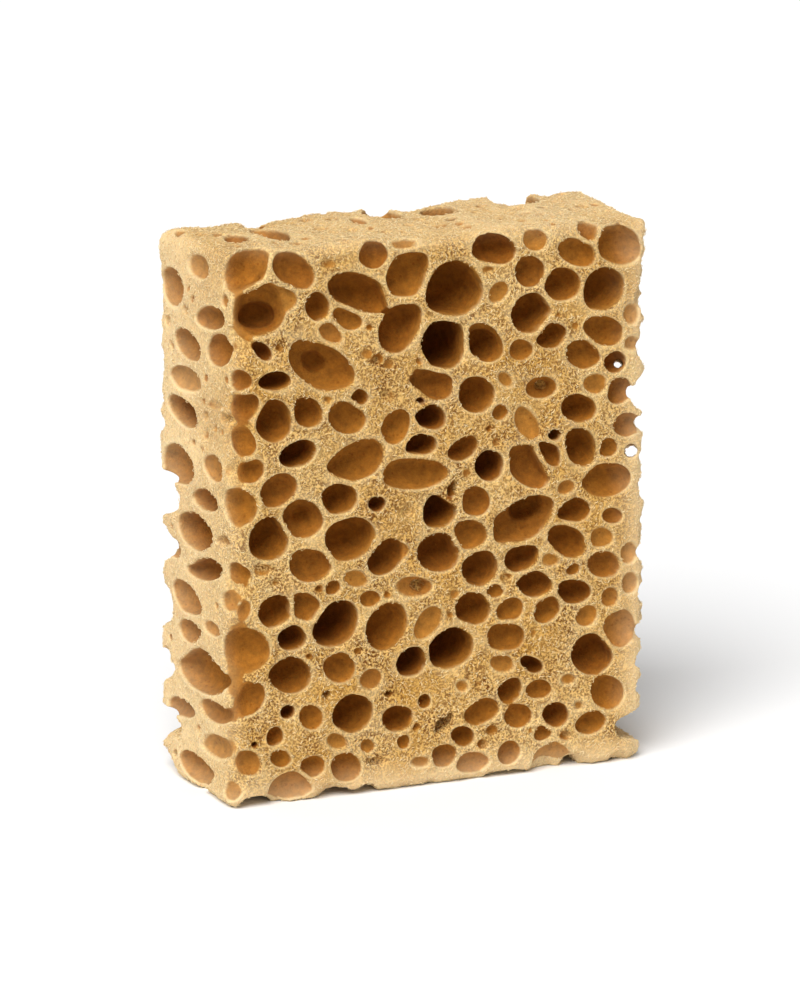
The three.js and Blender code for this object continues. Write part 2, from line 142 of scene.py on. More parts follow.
# Smaller pores of the front face, and dark holes inside its larger pits, in the same order of values.
FRONT_PORES = (
    (-27, 96.2, 5.2, 4.2, -20, B), (-40.5, 100.4, 4.8, 2.8, -45, B), (-15.1, 96.9, 2.9, 2.5, 0, M),
    (-17.4, 98.3, 2.6, 2.2, 0, S), (-16.7, 103.9, 1.3, 1.3, 0, M), (-36.9, 101.2, 1.9, 1.9, 0, S),
    (-25.8, 118.3, 3.4, 2.4, 0, S), (-12.2, 95.7, 2.5, 2.2, 0, S), (-5.1, 95.7, 1.8, 1.8, 0, S),
    (13.2, 109.3, 5.4, 4, 45, S), (10.6, 97.4, 6.4, 5.8, -35, D), (44.6, 102, 4, 5, 0, S),
    (45, 95.5, 4.5, 3.5, 0, S), (10.7, 114.3, 2.6, 1.7, 0, S), (31.4, 100.4, 1.5, 1.5, 0, S),
    (27.3, 103.2, 1.3, 1.3, 0, S), (-18.7, 88.8, 4.2, 3.4, -20, D), (-12.2, 88.6, 3.6, 2.6, -35, S),
    (-26.2, 89, 1.5, 1.5, 0, S), (-4.6, 86.9, 2.2, 1.6, -30, B), (-15, 65.2, 3.8, 3.1, 0, B),
    (-30.5, 63, 4, 3.4, 0, B), (-7.7, 62.8, 3.4, 2.6, -30, S), (15, 89.9, 4.8, 3, -45, S),
    (24.6, 87.2, 3, 2.4, 0, B), (13.9, 82.7, 4, 3.4, 0, M), (11.1, 79.4, 1.4, 1.4, 0, M),
    (26.8, 76.5, 3, 2.7, 0, B), (12.9, 76.2, 1.9, 1.9, 0, S), (39.7, 72.6, 4.4, 4.3, 0, M),
    (45, 71.4, 3, 3, 0, B), (2.7, 66.2, 4.6, 2, 70, B), (29.7, 64.5, 4.5, 3.4, 0, S),
    (6.1, 69.9, 2, 2, 0, S), (-9.5, 54, 4, 3.5, 0, S), (-41, 53, 4, 2.4, 0, S),
    (-38.2, 49.9, 1.5, 1.5, 0, S), (-16.2, 43.8, 4.8, 3.5, 0, M), (-12.4, 44.4, 1.5, 1.5, 0, M),
    (-4.7, 45.6, 3, 2.6, 0, D), (-25.2, 47.5, 4, 3, 0, M), (-28.4, 47.8, 2, 1.7, 0, M),
    (-45.3, 44.4, 4.6, 3, 80, S), (-45.2, 49.4, 1.8, 1.8, 0, S), (-30.6, 32.7, 1.4, 1.4, 0, M),
    (-19.6, 32.9, 1.5, 1.5, 0, M), (40.8, 57.1, 4.8, 3.6, -15, M), (25.9, 48.5, 4.8, 3.2, 0, S),
    (31.4, 45.9, 3.4, 2.8, 30, M), (44.9, 48.2, 4.4, 5, 0, S), (45.2, 41.3, 4.2, 5.2, 0, S),
    (15.5, 45.6, 2.9, 2, 0, S), (12.7, 42.9, 4.4, 3, -5, M), (40.6, 38.4, 4.2, 4.8, 0, S),
    (34.9, 34.6, 5, 4.8, 0, S), (3.1, 43.2, 2, 2, 0, S), (2.2, 38.4, 1.2, 1.2, 0, S),
    (21.8, 32.5, 1.2, 1.2, 0, S), (-26.5, 23.6, 1.7, 1.7, 0, B), (-35.6, 20.8, 3.2, 3, 0, B),
    (-12.2, 22.2, 1.6, 1.3, 0, B), (-3.8, 19.6, 2.8, 3.2, 0, D), (-38.7, 15.5, 3.7, 4.2, 0, D),
    (-43.3, 14.3, 1.2, 1.2, 0, B), (-37.4, 10.6, 4.8, 3.8, -30, M), (-17, 10.9, 3.5, 3.3, 0, S),
    (-8.8, 10.9, 3, 3.2, 0, M), (-15.1, 7.1, 4, 2, -10, M), (-4.6, 5.8, 5, 2.8, 0, S),
    (-5.8, 14, 1.8, 1.8, 0, M), (5.1, 22, 3.3, 2.8, -35, S), (30.4, 20.8, 4, 2.7, 0, S),
    (0.8, 14, 5.4, 2.6, 42, B), (33.1, 14.4, 3.3, 2.8, 0, S), (12.2, 11.1, 2.6, 2.2, 0, M),
    (10, 8.2, 2.3, 2.2, 0, M), (24.5, 8.9, 4.6, 3.4, 0, M), (16.4, 5.4, 5.2, 5, 0, M),
    (30, 7.6, 3, 2.5, 0, M), (21.4, 10, 1.2, 1.2, 0, S), (8.8, 21.8, 1.6, 1.6, 0, S),
)

# Left side: distance along Y, up, width along Y, height, tilt and depth of each pit.
LEFT_PITS = (
    (10.6, 110.8, 10.6, 8, -8, M), (0, 116.5, 10, 5, 0, S), (-6, 106.5, 13.5, 5, 10, M),
    (4, 99.3, 12, 6, -10, M), (-9.5, 100, 11, 6, 15, M), (4.5, 91.3, 14, 5.5, 0, S),
    (7, 84, 13.5, 5.6, -10, D), (7.8, 72.2, 15.4, 8.2, 0, M), (-8, 74, 10, 5.5, 0, S),
    (-4, 66.2, 13, 4.6, 5, D), (0, 58.2, 17, 7.5, 0, D), (10.5, 52.2, 7.4, 4, 0, M),
    (-4, 51, 17.5, 4.6, 10, D), (4, 42.5, 14, 6, -5, M), (-14.5, 46.3, 7.5, 4, 10, S),
    (2.8, 35.5, 11, 5, 5, M), (-2.4, 27.6, 25.5, 8.8, 3, M), (-8.5, 20, 16, 4.6, 5, M),
    (7.2, 16.8, 13.4, 4.4, 5, M), (-10, 12.6, 16.5, 5.6, 10, S), (0, 4.8, 16.5, 5.6, -3, M),
    (17.2, 104.6, 4.6, 3.2, 0, M), (-8, 88, 7.5, 2, 10, S), (-13, 86, 4.5, 2, 10, S),
    (-12.5, 59, 6, 2.2, 10, M), (-8, 38.6, 8, 3, 0, S), (-16.5, 4, 6, 4, 10, S),
)

# Top face: across, distance along Y, width across, width along Y and depth of each pit.
TOP_PITS = (
    (-40.5, -1, 5, 9, M), (-32.8, 0, 6.5, 18, M), (-8.7, 17.5, 6.5, 8, M), (-2.3, 11, 8.5, 13.5, M),
    (-10.3, 4.8, 3.6, 7.5, S), (10.2, 8.6, 8, 12.5, D), (29.8, 12.5, 10, 16, D),
    (-48.5, 12, 3, 4, S), (22.3, 5, 1.5, 5, S),
)

# Pits that break through an edge: centre and half sizes along X, Y and Z.
EDGE_BITES = (
    (-54.2, 18.5, 93, 4, 4.5, 3.6), (-53.8, 18.5, 80, 3, 3, 2.5), (-54.2, 18, 63.2, 7.5, 9.8, 5),
    (-54.2, 18.5, 52.5, 6, 7, 4.6), (-54.5, 18.5, 37.8, 7, 8.6, 4.6), (-55, 18.5, 24.2, 7, 8, 4),
    (-55, 18, 11.5, 7.5, 10.5, 3.4), (-54, 18, -0.5, 8, 9.5, 5),
    (50, -15, 113, 2.6, 6, 2.4), (50.2, -15, 103, 3, 6, 2.6), (50.4, -14, 94, 4, 9, 3.4),
    (51, -12, 84, 6.2, 14, 4.8), (50.2, -15, 23, 3.2, 7, 2.4), (50.6, -9, 8, 9, 22, 3.9),
    (-43, -17.5, -0.6, 4.4, 13, 3.2), (-24, -17.5, -0.8, 3.9, 11, 3), (-17, -17.5, -0.8, 2.8, 11, 2.9),
    (17, -17.5, -1, 4.6, 9, 2.3), (32, -17.5, -0.5, 1.8, 11, 2.8),
    (-31, 18.5, 123, 3, 12, 2.8), (5.5, 18.5, 124.6, 2.4, 11, 3), (38.5, 18.5, 125.2, 3, 9, 2.4),
)

# Scallops along the upright edge right of the front face: their place across, then height, and half sizes
# across and up, of each.
SCALLOP_X = 50.2
EDGE_SCALLOPS = (
    (118.5, 2.7, 1.6), (108.2, 3, 2.8), (98.6, 2.7, 1.7), (77.2, 3, 2.6), (69.5, 2.8, 1.8), (62.5, 2.8, 3.2),
    (55.3, 2.6, 1.6), (48.2, 2.9, 2.9), (38.4, 3.1, 2.6), (30.2, 2.8, 2.2), (16.6, 3.1, 2.4),
)

# Pits that the unseen faces get by the same seeded scatter as the solid.
SCATTER_SEED = 20
SCATTER_SMALL = 7.0
SCATTER_LARGE = 13.0
SCATTER_WALL = 1.8
SCATTER_MARGIN = 6.0

# A deep pit's widest level, as a share of its depth, and the growth of pits and bites as their rims wear.
PIT_BELLY = 0.1
PIT_GAIN = 1.1
BITE_GAIN = 1.1

# In mm: the thinnest wall between two pits, how near neighbours are, and below which width a pit is small.
THIN_WALL = 0.9
NEIGHBOURS = 16.0
SMALL_PIT = 2.9

# Share of a pit's reach from which it flattens towards a neighbour.
FLAT_FROM = 0.72

# Pits of the other faces that are nearer than this to the front face stay shallow, in mm.
SHALLOW_STRIP = 11.0

# Nicks along the worn edges, and small holes in the walls of the larger pits, in mm.
NICK_SPACING = 2.2
NICK_SIZES = (0.8, 3.0)
WALL_PORE_SIZES = (0.4, 0.8)

# The upright edges beside the front face and the base's front edge are more worn than the others.
NICK_GAIN = {(2, (1, 0)): 1.35, (0, (0, 0)): 1.45, (2, (0, 0)): 1.8}

# Extra pits between the others: their least width, the most on unseen and on seen faces, in mm, how many are
# tried, and the share of a face that stays free along its edges.
EXTRA_LEAST = 1.6
EXTRA_HIDDEN = 9.0
EXTRA_SEEN = 3.5
EXTRA_TRIES = 4500
EXTRA_MARGIN = 0.04

# Small holes right through beside the right edge: where they start on the front face, and their width.
THROUGH_HOLES = ((41.8, 91.3, 2.2), (45.2, 71.4, 2.8))

# The upright edge beside the front face: how far it is worn, how much its surface turns and how far it sinks.
EDGE_ROUND = 2.6
EDGE_REACH = 6.0
EDGE_TURN = math.radians(38)
EDGE_SINK = 1.0

# Widths of the patterns, in mm: the skin's fine pores, the patches where they are denser, the drift of its
# colour, the mottle of the pits' walls and the dots on them.
PORE_SPACING = 0.5
PATCH_WIDTH = 9.0
DRIFT_WIDTH = 20.0
MOTTLE_WIDTH = 1.7
DOT_SPACING = 1.9

# How far the painted light reaches in from the block's sides, top and base, and how much less of it the top
# has, in mm.
PAINTED_LIGHT_REACH = 9.0
TOP_LESS_PAINTED_LIGHT = 4.5

# The felt of fibres: its pieces, the rings of each tube, and the depth of skin that it grows on, in mm.
# Real fibres are under 0.1 mm wide. They are drawn wider, so that they show.
FIBRE_PIECES = 4
FIBRE_RINGS = 4
FIBRE_DEPTH = 0.3

# A fibre's length and width as shares of the mean, its rise and bend in mm, and its taper in radians.
FIBRE_LENGTHS = (0.6, 1.4)
FIBRE_WIDTHS = (0.7, 1.2)
FIBRE_RISE = (0.05, 0.3)
FIBRE_BEND = (-0.4, 0.4)
FIBRE_TAPER = 1.32

BODY_NAME = "sponge_body"

# Cuts across each of the uncut block's faces.
BLOCK_CUTS = 63

# Lumps of the cut faces and of the top: height in mm, and how many there are in a mm.
SIDE_LUMPS = ((0.6, 0.11), (0.35, 0.3))
TOP_LUMP = 1.4
TOP_PITCH = (0.09, 0.05)

# Relief in mm: the rims' height, the skin's roughness, and how far the skin lies below the rims.
RIM_HEIGHT = 0.06
SKIN_ROUGH = 0.3
SKIN_LOW = 0.12

# Depths over which skin turns to pit wall and distances over which a rim fades, in mm, and the shares of a
# pit's reach over which it ends.
SKIN_DEPTHS = (0.35, 0.8)
RIM_WIDTHS = (0.05, 0.6)
PIT_ENDS = (1.05, 1.3)

# Studio: the floor's half size in metres and colour, the sun's strength, spread and direction, and the fill.
FLOOR_HALF = 4.0
FLOOR_COLOUR = "#F3F3F3"
KEY_STRENGTH = 3.5
KEY_SPREAD = 40.0
KEY_ANGLES = (-42.0, 50.0)
FILL_STRENGTH = 0.36

# The camera: what it looks at and how far it is, in mm, its azimuth and elevation, and its lens.
CAMERA_TARGET = (-2.6, 0.0, 60.7)
CAMERA_DISTANCE = 922.0
CAMERA_ANGLES = (-22.0, 14.3)
CAMERA_LENS = 151.2

X, Y, Z = (Vector(row) for row in Matrix.Identity(3))
LEFT_ALONG = Vector((LEFT_FLARE, -THICKNESS, 0)).normalized()
LEFT_NORMAL = Vector((-THICKNESS, -LEFT_FLARE, 0)).normalized()


def linear(hex_colour):
    """Linear colour of an sRGB hex value."""
    parts = [int(hex_colour[i:i + 2], 16) / 255 for i in (1, 3, 5)]
    return tuple(p / 12.92 if p <= 0.04045 else ((p + 0.055) / 1.055) ** 2.4 for p in parts)


class SpongeSizes(bpy.types.PropertyGroup):
    """Sizes of the sponge's surface"""

    voxel: FloatProperty(
        name="Surface step", description="Spacing of the points of the sponge's surface",
        default=0.36 * MM, unit="LENGTH")
    uneven: FloatProperty(
        name="Unevenness", description="How far a pit's wall departs from an oval, as a share of its width",
        default=0.07, subtype="FACTOR")
    triangles: IntProperty(
        name="Triangles", description="Most triangles that the sponge's surface may have", default=196000)
    fibres: IntProperty(
        name="Fibres", description="Number of fine fibres on the skin", default=34000)
    fibre_length: FloatProperty(
        name="Fibre length", description="Mean length of a fibre", default=1.0 * MM, unit="LENGTH")
    fibre_width: FloatProperty(
        name="Fibre width", description="Mean width of a fibre", default=0.15 * MM, unit="LENGTH")


def colour(name, description, hex_colour):
    """A colour that a user may change, with its sRGB default."""
    return FloatVectorProperty(name=name, description=description, subtype="COLOR", default=linear(hex_colour))


class SpongeColours(bpy.types.PropertyGroup):
    """Colours of the sponge's skin, fibres and pits"""

    skin_light: colour("Light skin", "Palest skin between the pits", "#EAC27A")
    skin_deep: colour("Honey skin", "Darkest skin between the pits", "#D6A450")
    # Painted shade in the skin's fine pinholes.
    painted_pore_shade: colour("Fine pores", "Fine pores in the skin", "#6A3A0A")
    # Painted highlight along the pits' rims.
    rim: colour("Rims", "Highlighted rims of the pits", "#F0D49C")
    # Painted light: the paler colour of the block's sides, top and base.
    bleached: colour("Sidelit skin", "Skin of the block's sides and top", "#F2E0BC")
    # Pit walls: their own brown at the mouth, with darker stops that are painted shade as the pits deepen.
    mouth: colour("Pit mouths", "Pit walls near the mouth", "#B37C34")
    wall: colour("Pit walls", "Walls of medium pits", "#A26820")
    deep: colour("Deep walls", "Walls of deep pits", "#9A5E18")
    bottom: colour("Pit bottoms", "Bottoms of the deepest pits", "#844A0A")
    tint: colour("Pit tint", "Tint that some pits are shaded with", "#E6D8DC")
    fibre_light: colour("Light fibres", "Palest fibres on the skin", "#FFEBB8")
    fibre_deep: colour("Honey fibres", "Darkest fibres on the skin", "#EBC47C")


def lerp(a, b, t):
    """The value a share t of the way from a to b."""
    return a + (b - a) * t


def direction(azimuth, elevation):
    """Direction from the object towards a place seen at an azimuth and elevation in degrees."""
    turn, lift = math.radians(azimuth), math.radians(elevation)
    return Vector((math.sin(turn) * math.cos(lift), -math.cos(turn) * math.cos(lift), math.sin(lift)))


def wave(a, b):
    """Slow unevenness of the cut faces, in mm."""
    turn = 2 * math.pi / WAVE_LENGTH
    return WAVE_HEIGHT * math.sin(turn * a + 1.1) * math.cos(turn * b + 0.4)


def block_point(across, back, up):
    """A point of the uncut block from its shares across, front to back and up, in mm."""
    left = lerp(lerp(*FRONT_LEFT, up), lerp(*BACK_LEFT, up), back)
    right = lerp(*RIGHT, up)
    top = lerp(lerp(*FRONT_TOP, across), lerp(*BACK_TOP, across), back)
    return Vector((lerp(left, right, across), lerp(FRONT_Y, BACK_Y, back), up * top))


class Random:
    """A small seeded source of numbers from 0 to 1."""

    def __init__(self, seed):
        self.seed = seed

    def __call__(self):
        self.seed = (self.seed * 1664525 + 1013904223) % 2 ** 32
        return self.seed / 2 ** 32


def scatter(draw, width, height, tries):
    """Pits thrown at random on a face, clear of its edges and each other, in mm."""
    pits = []
    for _ in range(tries):
        a = lerp(SCATTER_MARGIN, width - SCATTER_MARGIN, draw())
        b = lerp(SCATTER_MARGIN, height - SCATTER_MARGIN, draw())
        long = SCATTER_SMALL + (SCATTER_LARGE - SCATTER_SMALL) * draw() * draw()
        short = long * (0.62 + 0.35 * draw())
        tilt = 180 * draw() - 90
        depth = 0.4 + 0.75 * draw()
        size = (long + short) / 4
        if all(math.hypot(a - p[0], b - p[1]) > size + p[2] + SCATTER_WALL for p in pits):
            pits.append((a, b, size, long, short, tilt, depth))
    return pits


def oval_matrix(point, along, normal, half):
    """Places a unit ball as an oval, with half sizes along a face, along its normal and across both."""
    side = along.cross(normal)
    turn = Matrix((along, normal, side)).transposed()
    return Matrix.Translation(point) @ turn.to_4x4() @ Matrix.Diagonal((*half, 1.0))


class Pit:
    """One pit of a face: the oval that it is cut with, its mouth and depth in mm, and how dark its painted
    shade is.

    Its walls are directions in which another pit lies, each with how far this pit may reach that way.
    """

    def __init__(self, point, across, up, normal, long, short, tilt, depth):
        angle = math.radians(tilt)
        along = across * math.cos(angle) + up * math.sin(angle)
        self.deep = depth * min(long, short) + max(0.0, PORE_DEEPER - 0.25 * short)
        sunk = (PIT_BELLY if depth > S + 0.1 else -PIT_BELLY) * self.deep
        reach = self.deep - sunk
        mouth = math.sqrt(1 - (sunk / reach) ** 2)
        # Painted shade: how dark the pit's walls are painted, from its depth share.
        self.gloom = min(1.0, max(0.0, (depth - 0.2) / (B - 0.2)))
        half = (long / 2 / mouth, reach, short / 2 / mouth)
        self.matrix = oval_matrix(point - normal * sunk, along, normal, half)
        self.mouth = point
        self.small = short < SMALL_PIT
        self.walls = []

    def reach(self, way):
        """Half of the pit's width in a direction, in mm."""
        return 1 / (self.matrix.to_3x3().inverted() @ way).length

    def wall_off(self, way, give):
        """Adds a wall that holds the pit back in a direction by an amount in mm."""
        self.walls.append((np.array(way), self.reach(way) - give))

    def points(self, ball_points):
        """A ball's points as the surface that the pit is cut with, flattened at its walls, in mm."""
        placed = np.array(self.matrix)
        points = ball_points @ placed[:3, :3].T + placed[:3, 3]
        for way, most in self.walls:
            far = (points - self.mouth) @ way / most
            held = FLAT_FROM + (1 - FLAT_FROM) * np.tanh((far - FLAT_FROM) / (1 - FLAT_FROM))
            points += np.where(far > FLAT_FROM, (held - far) * most, 0)[:, None] * way
        return points


def share_walls(pits):
    """Gives pits that would meet a thin wall. Small pits give way least, and nested ones not at all."""
    for one, other in itertools.combinations(pits, 2):
        gap = other.mouth - one.mouth
        away = gap.length
        if not 0 < away < NEIGHBOURS:
            continue
        way = gap / away
        near, far = one.reach(way), other.reach(way)
        over = near + far + THIN_WALL - away
        if over > 0 and away > 0.9 * max(near, far):
            gives = min(over / 2, 0.3 * near), min(over / 2, 0.3 * far)
            one.wall_off(way, min(0.45 * near, over - gives[1]))
            other.wall_off(-way, min(0.45 * far, over - gives[0]))


def worn_corner(gap, normal, across, towards):
    """A face's directions, turned by how near a worn upright edge is, and how far the surface sinks there."""
    share = min(1.0, max(0.0, 1 - gap / EDGE_REACH))
    turn = Matrix.Rotation(towards * EDGE_TURN * share, 3, "Z")
    return turn @ normal, turn @ across, EDGE_SINK * share * share


def front_pit(x, z, long, short, tilt, depth, sunk=0.0):
    """A pit of the front face, turned with the surface where the left edge is worn round."""
    gap = x - lerp(*FRONT_LEFT, z / FRONT_TOP[0])
    normal, across, drop = worn_corner(gap, -Y, X, -1)
    point = Vector((x, FRONT_Y + wave(x, z), z)) - normal * (drop + sunk)
    share = D if sunk else depth
    return Pit(point, across, Z, normal, PIT_GAIN * long, PIT_GAIN * short, tilt, share)


def inner_depth(pit):
    """Depth at which a hole starts, in mm: part of the way down a larger front pit around it."""
    x, z, width = pit[0], pit[1], pit[2] * pit[3]
    for px, pz, long, short, tilt, depth in FRONT_PITS:
        angle = math.radians(tilt)
        along = ((x - px) * math.cos(angle) + (z - pz) * math.sin(angle)) / long
        side = ((z - pz) * math.cos(angle) - (x - px) * math.sin(angle)) / short
        if along ** 2 + side ** 2 < 0.12 and long * short > 1.6 * width:
            return 0.75 * depth * min(long, short)
    return 0.0


def seen_pits():
    """The pits on the front, the left side and the top."""
    found = [front_pit(*pit, inner_depth(pit)) for pit in FRONT_PITS + FRONT_PORES]
    for y, z, long, short, tilt, depth in LEFT_PITS:
        normal, across, drop = worn_corner(y - FRONT_Y, LEFT_NORMAL, LEFT_ALONG, 1)
        point = block_point(0, (y - FRONT_Y) / THICKNESS, z / FRONT_TOP[0]) - normal * drop
        found.append(Pit(point, across, Z, normal, long, PIT_GAIN * short, tilt, depth))
    for x, y, wide, along, depth in TOP_PITS:
        point = block_point((x - FRONT_LEFT[1]) / (RIGHT[1] - FRONT_LEFT[1]), (y - FRONT_Y) / THICKNESS, 1)
        point.x = x
        found.append(Pit(point, X, Y, Z, wide, along, 0, depth))
    return found


def hidden_pits():
    """The pits on the back, the right side and the base. Those beside the front face stay shallow."""
    draw = Random(SCATTER_SEED)
    left = BACK_LEFT[1]
    width, height = RIGHT[1] - left, FRONT_TOP[0]
    faces = (
        (width, height, 600, X, Z, Y, lambda a, b: Vector((left + a, BACK_Y, b))),
        (THICKNESS, height, 200, Y, Z, X, lambda a, b: block_point(1, a / THICKNESS, b / height)),
        (width, THICKNESS, 60, X, Y, -Z, lambda a, b: Vector((left + a, FRONT_Y + b, 0))),
    )
    found = []
    for *face, across, up, normal, place in faces:
        for a, b, _, long, short, tilt, depth in scatter(draw, *face):
            point = place(a, b)
            share = depth if point.y - FRONT_Y > SHALLOW_STRIP else S
            found.append(Pit(point, across, up, normal, long, short, tilt, share))
    return found


def extra_pits(pits, draw):
    """Pits thrown on every face but the front and the base, the widest first, where others leave room."""
    taken = [(pit.mouth, max(pit.reach(X), pit.reach(Y), pit.reach(Z)) * 0.85) for pit in pits]
    faces = ((0.55, EXTRA_HIDDEN, Y, X, Z), (0.72, EXTRA_HIDDEN, X, Y, Z),
             (0.84, EXTRA_SEEN, LEFT_NORMAL, LEFT_ALONG, Z), (1.0, EXTRA_SEEN, Z, X, Y))
    found = []
    for attempt in range(EXTRA_TRIES):
        a, b = (lerp(EXTRA_MARGIN, 1 - EXTRA_MARGIN, draw()) for _ in range(2))
        pick = draw()
        most, normal, across, up = next(face[1:] for face in faces if pick <= face[0])
        size = lerp(EXTRA_LEAST, most, (1 - attempt / EXTRA_TRIES) ** 2)
        shares = {0: (0 if normal.x < 0 else 1, a, b), 1: (a, 1, b), 2: (a, b, 1)}
        point = block_point(*shares[max(range(3), key=lambda axis: abs(normal[axis]))])
        behind = point.y - FRONT_Y
        if behind > 0.7 * size and all((point - other).length > size * 0.5 + reach + THIN_WALL
                                       for other, reach in taken):
            deepest = D if behind > SHALLOW_STRIP else S
            found.append(Pit(point, across, up, normal, size, size * lerp(0.6, 1, draw()), 180 * draw(),
                             lerp(S, deepest, draw())))
            taken.append((point, size * 0.5))
    return found


def edge_bites():
    """Matrices of the pits that break through an edge and of the holes beside the right edge, in mm."""
    found = [Matrix.Translation((x, y, z)) @ Matrix.Diagonal((rx * BITE_GAIN, ry, rz * BITE_GAIN, 1.0))
             for x, y, z, rx, ry, rz in EDGE_BITES]
    found += [Matrix.Translation((SCALLOP_X, FRONT_Y + 2, z)) @ Matrix.Diagonal((rx, 6, rz, 1.0))
              for z, rx, rz in EDGE_SCALLOPS]
    along = -direction(*CAMERA_ANGLES)
    for x, z, width in THROUGH_HOLES:
        length = (RIGHT[0] - x) / along.x
        point = Vector((x, FRONT_Y, z)) + along * (length / 2)
        found.append(oval_matrix(point, along, along.cross(Z).normalized(), (length, width / 2, width / 2)))
    return found


def worn_edges(draw):
    """Matrices of the small nicks along the block's edges, in mm."""
    found = []
    middle = block_point(0.5, 0.5, 0.5)
    for fixed in range(3):
        for low in ((0, 0), (0, 1), (1, 0), (1, 1)):
            ends = [block_point(*(low[:fixed] + (t,) + low[fixed:])) for t in (0, 1)]
            worn = NICK_GAIN.get((fixed, low), 1.0)
            for _ in range(int((ends[1] - ends[0]).length / NICK_SPACING)):
                point = ends[0].lerp(ends[1], draw())
                size = lerp(*NICK_SIZES, draw() * draw()) * worn
                away = point - middle
                away -= away.project(ends[1] - ends[0])
                point += away.normalized() * size * lerp(0.2, 0.7, draw())
                half = (size * lerp(0.8, 1.5, draw()), size, size * lerp(0.8, 1.5, draw()), 1.0)
                found.append(Matrix.Translation(point) @ Matrix.Diagonal(half))
    return found


def wall_pores(pits, draw):
    """Matrices of the small round holes in the walls of the larger pits, in mm."""
    found = []
    for pit in pits:
        half = sorted(pit.matrix.to_scale())
        if half[1] < 3.0 or half[0] < 2.4:
            continue
        for _ in range(int(1 + 3 * draw())):
            turn = 2 * math.pi * draw()
            dip = lerp(-0.95, -0.3, draw())
            flat = math.sqrt(1 - dip * dip)
            point = pit.matrix @ Vector((flat * math.cos(turn), dip, flat * math.sin(turn)))
            size = lerp(*WALL_PORE_SIZES, draw() * draw())
            found.append(Matrix.Translation(point) @ Matrix.Diagonal((size, size * 1.3, size, 1.0)))
    return found


def arrays_of(bm):
    """Points and triangles of a bmesh, which is used up."""
    bm.verts.index_update()
    points = np.array([v.co for v in bm.verts])
    triangles = np.array([[v.index for v in f.verts] for f in bm.faces])
    bm.free()
    return points, triangles


def ball(subdivisions):
    """Points and triangles of a unit ball."""
    bm = bmesh.new()
    bmesh.ops.create_icosphere(bm, subdivisions=subdivisions, radius=1.0)
    return arrays_of(bm)


def straight_fibre():
    """Points and triangles of a straight three-sided tube with rounded-off ends, from -1 to 1 along Z."""
    bm = bmesh.new()
    bmesh.ops.create_cone(bm, cap_ends=True, segments=3, radius1=1.0, radius2=1.0, depth=2.0)
    upright = [e for e in bm.edges if abs(e.verts[0].co.z - e.verts[1].co.z) > 1]
    bmesh.ops.subdivide_edges(bm, edges=upright, cuts=FIBRE_RINGS - 2)
    bmesh.ops.triangulate(bm, faces=bm.faces[:])
    for vert in bm.verts:
        taper = math.cos(FIBRE_TAPER * vert.co.z)
        vert.co.x *= taper
        vert.co.y *= taper
    return arrays_of(bm)


def swelling(points, draw):
    """A smooth random swelling of a ball's points, from about -1 to 1."""
    total = np.zeros(len(points))
    for pitch, share in ((1.8, 0.5), (2.9, 0.4), (5.0, 0.14)):
        for _ in range(3):
            way = np.array([draw(), draw(), draw()]) * 2 - 1
            total += share * np.sin(pitch * points @ (way / np.linalg.norm(way)) + 2 * math.pi * draw())
    return total


def new_object(name, data):
    """A new object in the scene."""
    piece = bpy.data.objects.new(name, data)
    bpy.context.scene.collection.objects.link(piece)
    return piece


def object_of_arrays(name, points, triangles):
    """A new object from arrays of points, in mm from the middle of the front face, and triangles."""
    mesh = bpy.data.meshes.new(name)
    mesh.from_pydata((points + (FACE_SHIFT, 0, 0)) * MM, [], triangles)
    return new_object(name, mesh)


def joined_ovals(name, pits, matrices, uneven, draw):
    """One object of many ovals, the pits and other matrices, with outlines that aren't quite even."""
    coarse, fine = ball(3), ball(4)
    points, triangles, start = [], [], 0
    for oval in pits + matrices:
        placed = oval.matrix if isinstance(oval, Pit) else oval
        unit, faces = fine if max(placed.to_scale()) > 2.2 else coarse
        swollen = unit * (1 + uneven * swelling(unit, draw))[:, None]
        if isinstance(oval, Pit):
            points.append(oval.points(swollen))
        else:
            points.append(swollen @ np.array(placed.to_3x3()).T + np.array(placed.translation))
        triangles.append(faces + start)
        start += len(unit)
    return object_of_arrays(name, np.concatenate(points), np.concatenate(triangles))


def object_of_bmesh(name, bm):
    """A new object from a bmesh, which is used up."""
    mesh = bpy.data.meshes.new(name)
    bm.to_mesh(mesh)
    bm.free()
    return new_object(name, mesh)


def add_modifier(piece, kind, **settings):
    """Adds a modifier with its settings."""
    modifier = piece.modifiers.new(kind, kind)
    for name, value in settings.items():
        setattr(modifier, name, value)


def apply_modifiers(piece):
    """Keeps what the piece's modifiers make as its own mesh."""
    shown = piece.evaluated_get(bpy.context.evaluated_depsgraph_get())
    mesh = bpy.data.meshes.new_from_object(shown)
    piece.modifiers.clear()
    old = piece.data
    piece.data = mesh
    bpy.data.meshes.remove(old)


def rounded(point, across, back, up):
    """Pulls a point of the block inwards where two or three of its faces meet, in mm."""
    gaps = (lerp(0, RIGHT[0] - BACK_LEFT[0], min(across, 1 - across)), THICKNESS * min(back, 1 - back),
            FRONT_TOP[0] * min(4 * up, 1 - up))
    inwards = Vector([max(0.0, EDGE_ROUND - gap) for gap in gaps])
    if inwards.length <= EDGE_ROUND:
        return point
    pull = inwards * (1 - EDGE_ROUND / inwards.length)
    signs = [1 if share < 0.5 else -1 for share in (across, back, up)]
    return point + Vector([p * s for p, s in zip(pull, signs)])


